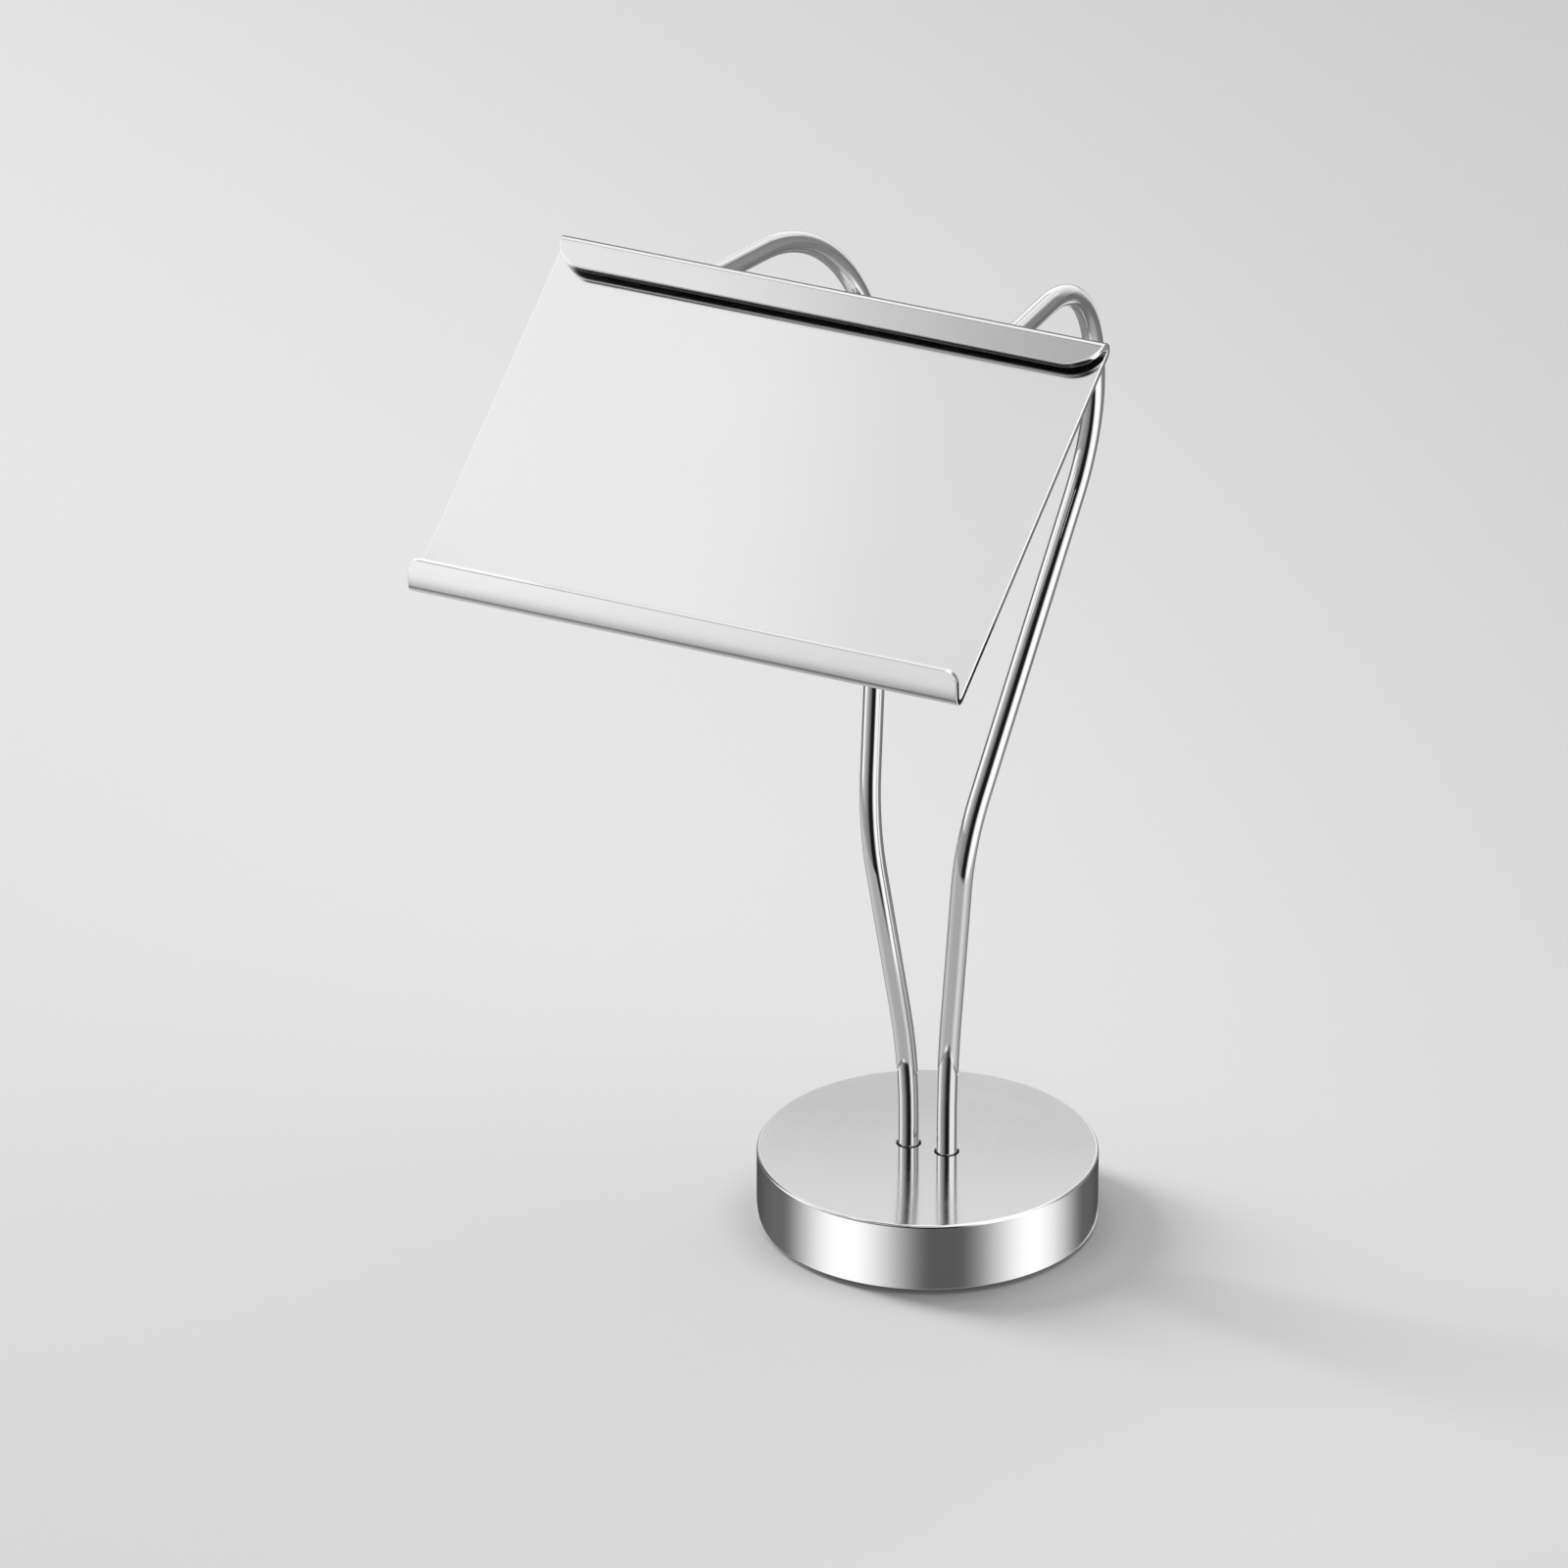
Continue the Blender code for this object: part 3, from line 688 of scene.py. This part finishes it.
class MENU_HOLDER_OT_rods(bpy.types.Operator):
    """Bend the two rods, tap their feet and round their upper ends"""

    bl_idname = "menu_holder.rods"
    bl_label = "Rods"

    def execute(self, context):
        settings = context.scene.menu_holder
        steel = buffed_rod_steel(settings.finishes)
        for side, sign in SIDES.items():
            corners = rod_corners(settings.rods, settings.plate, sign)
            bm, foot_edges = sweep_rod(settings.rods, corners)
            tap_foot(bm, settings.rods, foot_edges)
            bmesh.ops.recalc_face_normals(bm, faces=bm.faces)
            rod = new_object("bent_rod_" + side, bm, steel)
            dress(rod, "rod_" + side)
        return {"FINISHED"}


# Welds and fasteners

def weld_section(bm, rods, welds, flank):
    """Outline of a weld in the corner between rod and sheet, with the rod's axis at (0, 0)."""
    reach = rods.diameter / 2 + SEAT_GAP
    sheet = rods.diameter / 2
    root = math.degrees(math.asin(sheet / reach))
    on_rod = arc((0, 0), reach, root, math.degrees(welds.climb), WELD_STEPS)
    toe = Vector((on_rod[0][0] + welds.leg, sheet))
    top = Vector(on_rod[-1])
    outward = Vector((toe.y - top.y, top.x - toe.x)).normalized()
    outline = on_rod[:]
    for step in range(1, WELD_STEPS):
        share = step / WELD_STEPS
        swell = welds.crown * 4 * share * (1 - share)
        outline.append(top.lerp(toe, share) + outward * swell)
    outline.append(toe)
    verts = [bm.verts.new((flank * across, out, 0)) for across, out in outline]
    return bm.faces.new(verts), Vector((flank * on_rod[0][0], sheet, 0))


def weld_bead(rods, welds, flank):
    """A rippled bead: the section pushed along the seam, swelling and shrinking about its root."""
    bm = bmesh.new()
    face, root = weld_section(bm, rods, welds, flank)
    edges = face.edges[:]
    steps = round(welds.length / welds.ripple) * STEPS_PER_RIPPLE
    bmesh.ops.translate(bm, vec=(0, 0, -welds.length / 2), verts=bm.verts)
    fullness = WELD_END
    bmesh.ops.scale(bm, vec=(fullness, fullness, 1), verts=bm.verts, space=Matrix.Translation(-root))
    for step in range(1, steps + 1):
        along = 2 * step / steps - 1
        ripple = step % STEPS_PER_RIPPLE / STEPS_PER_RIPPLE
        wanted = WELD_END + (1 - WELD_END) * (1 - along ** 4) ** 0.5 * (1 - WELD_RIPPLE * ripple)
        verts, edges = far_ring(bm, edges)
        bmesh.ops.translate(bm, vec=(0, 0, welds.length / steps), verts=verts)
        change = wanted / fullness
        bmesh.ops.scale(bm, vec=(change, change, 1), verts=verts, space=Matrix.Translation(-root))
        fullness = wanted
    bmesh.ops.edgeloop_fill(bm, edges=edges)
    bmesh.ops.recalc_face_normals(bm, faces=bm.faces)
    return bm


class MENU_HOLDER_OT_welds(bpy.types.Operator):
    """Lay the rippled weld beads between the rods' tails and the back of the plate"""

    bl_idname = "menu_holder.welds"
    bl_label = "Welds"

    def execute(self, context):
        settings = context.scene.menu_holder
        welds = settings.welds
        steel = brushed_weld_steel(settings.finishes)
        slope = plate_place(settings.plate).to_3x3() @ Vector((0, 1, 0))
        turn = Matrix.Rotation(math.pi / 2 + settings.plate.tilt, 4, "X")
        stations = {"lower": welds.inset, "upper": welds.inset + welds.pitch}
        for side, sign in SIDES.items():
            tail_end = rod_corners(settings.rods, settings.plate, sign)[-1]
            for station, from_end in stations.items():
                middle = tail_end + slope * (from_end + welds.length / 2)
                for flank_name, flank in {"inner": -sign, "outer": sign}.items():
                    bm = weld_bead(settings.rods, welds, flank)
                    bmesh.ops.transform(bm, matrix=Matrix.Translation(middle) @ turn, verts=bm.verts)
                    place = "_".join((side, station, flank_name))
                    bead = new_object("weld_bead_" + place, bm, steel)
                    dress(bead, "weld_" + place, WELD_SHARP_TURN)
        return {"FINISHED"}


class MENU_HOLDER_OT_fasteners(bpy.types.Operator):
    """Plate the screws and washers under the base with zinc"""

    bl_idname = "menu_holder.fasteners"
    bl_label = "Fasteners"

    def execute(self, context):
        zinc = zinc_plated_steel(context.scene.menu_holder.finishes)
        for side in SIDES:
            for kind in ("rod_screw_", "rod_washer_", "lock_washer_"):
                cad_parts[kind + side].material_slots[0].material = zinc
        return {"FINISHED"}


# Stage

# Levels of the studio as the polished steel sees it, as shares of white. Angles are in degrees and
# run round from the camera's side to its right.
WHITE_LEVEL = 1.32
WALL_BANDS = (
    (-180, 0.90), (-152, 0.50), (-138, 0.08), (-124, 0.12), (-110, 0.92), (-88, 0.95), (-73, 0.47),
    (-44, 0.26), (-25, 0.12), (-14, 0.01), (20, 0.01), (37, 0.95), (80, 0.97), (96, 0.27),
    (136, 0.19), (150, 0.60), (165, 0.82), (180, 0.90),
)
FLOOR_BANDS = (
    (-180, 0.15), (-164, 0.40), (-140, 0.08), (-122, 0.14), (-104, 0.38), (-60, 0.28), (-28, 0.18),
    (-14, 0.01), (18, 0.01), (36, 0.90), (45, 0.97), (80, 0.95), (96, 0.24), (130, 0.14),
    (141, 0.14), (152, 0.62), (164, 0.50), (180, 0.15),
)
NEAR_BANDS = (
    (-180, 0.21), (-148, 0.22), (-128, 0.50), (-100, 0.50), (-50, 0.37), (12, 0.36), (48, 0.62),
    (60, 0.62), (88, 0.41), (115, 0.30), (138, 0.14), (165, 0.14), (180, 0.19),
)
COLLAR_BANDS = (
    (-180, 0.10), (-140, 0.97), (-94, 0.06), (-62, 0.12), (-31.4, 0.97), (-29, 0.97), (1.5, 0.09),
    (9.7, 0.09), (38.6, 0.97), (69.5, 0.10), (94, 0.06), (140, 0.97), (180, 0.10),
)

# How the ceiling's light passes: along which axis, from where to where, from one level to another
CEILING = {
    "over face": ("X", -0.68, -0.57, 1.02, 0.85),
    "over lip": ("X", -0.725, -0.525, 1.0, 0.50),
    "face to lip": ("Y", -0.28, -0.14, 0, 1),
    "past lip": ("Y", 0.0, 0.08, 1, 0.50),
    "past plate": ("Y", 0.26, 0.40, 0, 1),
    "to the right": ("X", -0.46, -0.34, 0, 1),
    "above walls": ("Z", 1.45, 1.8, 0, 1),
}
CEILING_PAST_PLATE = 1.08
CEILING_AT_RIGHT = 1.25

# Share of the cards' light that the steel throws on the floor
THROWN_SHARE = 0.35

# Tent, collar and floor card
TENT_OUTLINE = ((2.0, 0.0), (2.0, 1.3), (1.5, 1.8), (0.0, 2.0))
COLLAR_CLEARANCE = 2.5 * MM
COLLAR_LIFT = 0.1 * MM
COLLAR_DROP = 1.3 * MM
FLOOR_CARD_RADIUS = 2
FLOOR_CARD_LIFT = 0.05 * MM

# Grey patch in the floor card's light: where its middle lies, and between which radii it gives way
PATCH_TURN = -150
PATCH_DISTANCE = 0.2
PATCH_EDGE = (0.395, 0.44)

# Between which places on X a card dims to the right
CARD_DIMMING = (-0.13, 0.06)

# Painted pool of light in the floor's colour: its middle, the turn of its long side and its half sizes
PAINTED_LIGHT_POOL_PLACE = (0.827, -0.902, 0)
PAINTED_LIGHT_POOL_TURN = 40.8
PAINTED_LIGHT_POOL_SIZE = (0.585, 3.0, 1)
FLOOR_RADIUS = 40

# Lamps: their places, the ways they face, their widths and heights
WINDOW = ((-2.99, 0.26, 1.85), (2.99, -0.26, 0), (0.8, 3.5))
OVERHEAD = ((0.1, 0.1, 2.3), (0, 0, -1), (2.4, 2.4))


def in_reflections(name, bm, material):
    """An object of the stage that shows in reflections only."""
    obj = new_object(name, bm, material)
    for ray in ("camera", "diffuse", "shadow", "transmission", "volume_scatter"):
        setattr(obj, "visible_" + ray, False)
    return obj


def band_level(tree, place, azimuth, bands, sharpness):
    """Level of a pattern of bands round Z."""
    turned = add_node(tree, "ShaderNodeMapping", {"Vector": place, "Rotation": (0, 0, -azimuth)})
    axes = add_node(tree, "ShaderNodeSeparateXYZ", (turned,)).outputs
    towards = add_node(tree, "ShaderNodeMath", (axes["Y"], -1), operation="MULTIPLY")
    turn = add_node(tree, "ShaderNodeMath", (axes["X"], towards), operation="ARCTAN2")
    share = add_node(tree, "ShaderNodeMapRange", (turn, -math.pi, math.pi))
    ramp = add_node(tree, "ShaderNodeValToRGB", (share,))
    ramp.color_ramp.interpolation = sharpness
    stops = ramp.color_ramp.elements
    while len(stops) < len(bands):
        stops.new(0.5)
    for stop, (degrees, amount) in zip(stops, bands):
        stop.position = (degrees + 180) / 360
        stop.color = (amount, amount, amount, 1)
    return add_node(tree, "ShaderNodeMath", (ramp, WHITE_LEVEL), operation="MULTIPLY")


def shine(tree, amount):
    """End a material in plain light of a level, seen in the steel from its front only.

    The steel throws only a part of it on the floor, so the shadow by the base stays dark.
    """
    bounces = add_node(tree, "ShaderNodeLightPath").outputs["Diffuse Depth"]
    straight = add_node(tree, "ShaderNodeMath", (bounces, 0.5), operation="LESS_THAN")
    share = add_node(tree, "ShaderNodeMix", {0: straight, 2: THROWN_SHARE, 3: 1})
    strength = add_node(tree, "ShaderNodeMath", (amount, share), operation="MULTIPLY")
    glow = add_node(tree, "ShaderNodeEmission", {"Strength": strength})
    clear = add_node(tree, "ShaderNodeBsdfTransparent")
    behind = add_node(tree, "ShaderNodeNewGeometry").outputs["Backfacing"]
    seen = add_node(tree, "ShaderNodeMixShader", (behind, glow, clear))
    tree.nodes.remove(tree.nodes[SHADER])
    feed(tree.nodes["Material Output"], {"Surface": seen})


def face_inwards(bm, middle):
    outward = [face for face in bm.faces if face.normal.dot(face.calc_center_median() - middle) > 0]
    bmesh.ops.reverse_faces(bm, faces=outward)


def make_tent(stage):
    """Walls in light and dark bands, which streak the rods, under a ceiling that shades the plate."""
    material, tree, place = new_material("tent_cloth")
    axes = add_node(tree, "ShaderNodeSeparateXYZ", (place,)).outputs
    walls = band_level(tree, place, stage.azimuth, WALL_BANDS, "LINEAR")
    parts = {}
    for name, (axis, *ends) in CEILING.items():
        parts[name] = add_node(tree, "ShaderNodeMapRange", (axes[axis], *ends),
                               interpolation_type="SMOOTHSTEP")
    light = add_node(tree, "ShaderNodeMix", {
        0: parts["face to lip"], 2: parts["over face"], 3: parts["over lip"]})
    light = add_node(tree, "ShaderNodeMath", (parts["past lip"], light), operation="MULTIPLY")
    for name, beyond in (("past plate", CEILING_PAST_PLATE), ("to the right", CEILING_AT_RIGHT)):
        light = add_node(tree, "ShaderNodeMix", {0: parts[name], 2: light, 3: beyond})
    shine(tree, add_node(tree, "ShaderNodeMix", {0: parts["above walls"], 2: walls, 3: light}))
    bm = spun(TENT_OUTLINE, STAGE_STEPS)
    face_inwards(bm, Vector((0, 0, 0)))
    return in_reflections("light_tent", bm, material)


def make_collar(stage):
    """A ring of card round the base that glows in light and dark bands, for the bands on the disc's
    side.
    """
    material, tree, place = new_material("collar_card")
    shine(tree, band_level(tree, place, stage.azimuth, COLLAR_BANDS, "EASE"))
    radius = DISC_HIGH.x + COLLAR_CLEARANCE
    bm = spun(((radius, COLLAR_LIFT), (radius, DISC_HIGH.z - COLLAR_DROP)), COLLAR_STEPS)
    face_inwards(bm, Vector((0, 0, DISC_HIGH.z)))
    return in_reflections("collar", bm, material)


def make_floor_card(stage):
    """A card that glows as the floor that the steel sees: light of a grey level near the base, and in
    the walls' bands further out.
    """
    material, tree, place = new_material("floor_card")
    near = band_level(tree, place, stage.azimuth, NEAR_BANDS, "EASE")
    far = band_level(tree, place, stage.azimuth, FLOOR_BANDS, "LINEAR")
    turn = stage.azimuth + math.radians(PATCH_TURN)
    middle = Vector((math.sin(turn), -math.cos(turn), 0)) * PATCH_DISTANCE
    radius = add_node(tree, "ShaderNodeVectorMath", (place, middle),
                      operation="DISTANCE").outputs["Value"]
    share = add_node(tree, "ShaderNodeMapRange", (radius, *PATCH_EDGE), interpolation_type="SMOOTHSTEP")
    shine(tree, add_node(tree, "ShaderNodeMix", {0: share, 2: near, 3: far}))
    bm = bmesh.new()
    bmesh.ops.create_circle(bm, cap_ends=True, segments=STAGE_STEPS, radius=FLOOR_CARD_RADIUS,
                            matrix=Matrix.Translation((0, 0, FLOOR_CARD_LIFT)))
    return in_reflections("floor_card", bm, material)


def make_card(name, place, sides, levels, span=("Z", 0, 2), right_share=1):
    """A card that passes from one level to another along a span of an axis, and dims to the right."""
    material, tree, spot = new_material(name)
    axes = add_node(tree, "ShaderNodeSeparateXYZ", (spot,)).outputs
    axis, *ends = span
    graded, across = [
        add_node(tree, "ShaderNodeMapRange", inputs, interpolation_type="SMOOTHSTEP")
        for inputs in ((axes[axis], *ends, *levels), (axes["X"], *CARD_DIMMING, 1, right_share))]
    shine(tree, add_node(tree, "ShaderNodeMath", (graded, across), operation="MULTIPLY"))
    bm = bmesh.new()
    bmesh.ops.create_grid(bm, x_segments=1, y_segments=1, size=0.5)
    bmesh.ops.scale(bm, vec=(*sides, 1), verts=bm.verts)
    bmesh.ops.transform(bm, matrix=place, verts=bm.verts)
    return in_reflections(name, bm, material)


def standing(azimuth, degrees, distance, height):
    """Place of a card that stands round from the camera's side and faces the object."""
    return (Matrix.Rotation(azimuth + math.radians(degrees + 180), 4, "Z")
            @ Matrix.Translation((0, distance, height)) @ Matrix.Rotation(math.pi / 2, 4, "X"))


def hanging(place, facing, turn=0):
    """Place of a card that hangs at a point, faces a direction and is turned in its plane."""
    facing = Vector(facing).to_track_quat("Z", "Y").to_matrix().to_4x4()
    return Matrix.Translation(place) @ facing @ Matrix.Rotation(turn, 4, "Z")


def make_cards(stage, plate):
    """Cards that shade single faces of the steel, each with its place, its sides and its levels."""
    return (
        # Behind the base, to shade the top of the disc
        make_card("back_card", standing(stage.azimuth, 180, 1.8, 0.965), (0.5, 0.3), (0.64, 0.875),
                  span=("Z", 0.935, 1.005)),
        # Behind and to the right, to light the rods' bends
        make_card("rear_board", standing(stage.azimuth, 154, 1.85, 1.25), (0.65, 1.0), (0.92, 0.92)),
        # Before the top lip, to blacken its cut edge
        make_card("lip_flag", hanging((-0.10, -0.30, 0.48), (0.399, 0.869, -0.291)),
                  (0.42, 0.12), (0.02, 0.02)),
        # Behind the top fold, to draw its dark outline
        make_card("fold_flag", hanging((-0.008, -0.065, 0.4205), (0, -1, 0)),
                  (0.25, 0.026), (0.22, 0.22)),
        # Beside the plate, to light its left edge and to darken its right one
        make_card("left_card", hanging((-0.14, -0.1445, 0.385), (1, 0, 0), plate.tilt),
                  (0.20, 0.07), (1.2, 1.2)),
        make_card("edge_card", hanging((0.1806, -0.0260, 0.2809), (-0.399, -0.82, 0.41),
                                       math.radians(23.4)),
                  (0.06, 0.112), (0.02, 0.20), span=("Z", 0.2665, 0.2755)),
        # Before the bottom lip, to shade it from light to grey and to light its upper arris
        make_card("lip_card", hanging((-0.03, -0.265, 0.30), (0, 0, 1)),
                  (0.3, 0.07), (1.08, 0.25), span=("Y", -0.2630, -0.2530), right_share=0.82),
        make_card("arris_card", hanging((-0.01, -0.232, 0.3475), (0, 1, 0)),
                  (0.3, 0.025), (1.08, 1.08), right_share=0.82),
    )


def make_floor(stage):
    """Seamless matt board, its colour palest in a long pool that runs from the base to the front and
    right: a painted pool of light.
    """
    material, tree, place = new_material("matt_board_with_painted_light_pool")
    # Painted light: the board's colour is palest in a long pool and darker away from it
    in_painted_light_pool = add_node(tree, "ShaderNodeMapping", {
        "Vector": place, "Location": PAINTED_LIGHT_POOL_PLACE, "Rotation": (0, 0, math.radians(PAINTED_LIGHT_POOL_TURN)),
        "Scale": PAINTED_LIGHT_POOL_SIZE}, vector_type="TEXTURE")
    outwards = add_node(tree, "ShaderNodeVectorMath", (in_painted_light_pool,), operation="LENGTH").outputs["Value"]
    share = add_node(tree, "ShaderNodeMapRange", (outwards,), interpolation_type="SMOOTHSTEP")
    shade = add_node(tree, "ShaderNodeMix", {
        0: share, 6: (*stage.floor, 1), 7: (*stage.floor_past_painted_light, 1)}, data_type="RGBA").outputs[2]
    feed(tree.nodes[SHADER], {"Base Color": shade, "Roughness": 1, "Specular IOR Level": 0})
    bm = bmesh.new()
    bmesh.ops.create_circle(bm, cap_ends=True, segments=FLOOR_STEPS, radius=FLOOR_RADIUS)
    return new_object("floor", bm, material)


def make_world(stage):
    """Even light from all round, behind which the camera sees the pale background."""
    world = bpy.data.worlds.new("studio")
    bpy.context.scene.world = world
    world.use_nodes = True
    tree = world.node_tree
    tree.nodes.clear()
    ray = add_node(tree, "ShaderNodeLightPath").outputs["Is Camera Ray"]
    fill, seen = [
        add_node(tree, "ShaderNodeBackground", {"Color": shade, "Strength": strength})
        for shade, strength in (((1, 1, 1, 1), stage.fill), ((*stage.horizon, 1), 1))]
    both = add_node(tree, "ShaderNodeMixShader", (ray, fill, seen))
    add_node(tree, "ShaderNodeOutputWorld", {"Surface": both})


def make_lamp(name, watts, place, facing, sides):
    lamp = bpy.data.lights.new(name, "AREA")
    lamp.shape = "RECTANGLE"
    lamp.size, lamp.size_y = sides
    lamp.energy = watts
    obj = bpy.data.objects.new(name, lamp)
    obj.location = place
    obj.rotation_euler = Vector(facing).to_track_quat("-Z", "Y").to_euler()
    obj.visible_glossy = False
    bpy.context.scene.collection.objects.link(obj)


def make_camera(stage):
    camera = bpy.data.cameras.new("camera")
    camera.lens = stage.lens
    camera.clip_end = 100
    obj = bpy.data.objects.new("camera", camera)
    back = Vector((math.sin(stage.azimuth) * math.cos(stage.elevation),
                   -math.cos(stage.azimuth) * math.cos(stage.elevation),
                   math.sin(stage.elevation)))
    obj.location = Vector(stage.aim) + back * stage.distance
    obj.rotation_euler = (-back).to_track_quat("-Z", "Y").to_euler()
    bpy.context.scene.collection.objects.link(obj)
    bpy.context.scene.camera = obj


class MENU_HOLDER_OT_stage(bpy.types.Operator):
    """Lay the floor, hang the tent and the cards and set the lamps and the camera"""

    bl_idname = "menu_holder.stage"
    bl_label = "Stage"

    def execute(self, context):
        settings = context.scene.menu_holder
        stage = settings.stage
        make_floor(stage)
        make_tent(stage)
        make_collar(stage)
        make_floor_card(stage)
        make_cards(stage, settings.plate)
        make_world(stage)
        make_lamp("window", stage.window, *WINDOW)
        make_lamp("overhead", stage.overhead, *OVERHEAD)
        make_camera(stage)
        context.scene.view_settings.view_transform = "Standard"
        return {"FINISHED"}


class MENU_HOLDER_PT_sidebar(bpy.types.Panel):
    bl_idname = "MENU_HOLDER_PT_sidebar"
    bl_label = "Menu Holder"
    bl_space_type = "VIEW_3D"
    bl_region_type = "UI"
    bl_category = "Menu Holder"

    def draw(self, context):
        for operator in OPERATORS:
            self.layout.operator(operator.bl_idname)


OPERATORS = (
    MENU_HOLDER_OT_base_disc,
    MENU_HOLDER_OT_base_pad,
    MENU_HOLDER_OT_card_plate,
    MENU_HOLDER_OT_rods,
    MENU_HOLDER_OT_welds,
    MENU_HOLDER_OT_fasteners,
    MENU_HOLDER_OT_stage,
)
CLASSES = (
    MenuHolderBase,
    MenuHolderRods,
    MenuHolderPlate,
    MenuHolderWelds,
    MenuHolderFinishes,
    MenuHolderStage,
    MenuHolderSettings,
) + OPERATORS + (MENU_HOLDER_PT_sidebar,)


def register():
    for cls in CLASSES:
        bpy.utils.register_class(cls)
    bpy.types.Scene.menu_holder = bpy.props.PointerProperty(type=MenuHolderSettings)


def unregister():
    del bpy.types.Scene.menu_holder
    for cls in reversed(CLASSES):
        bpy.utils.unregister_class(cls)


def main():
    register()
    for operator in OPERATORS:
        getattr(bpy.ops.menu_holder, operator.bl_idname.split(".")[1])()


if __name__ == "__main__":
    main()
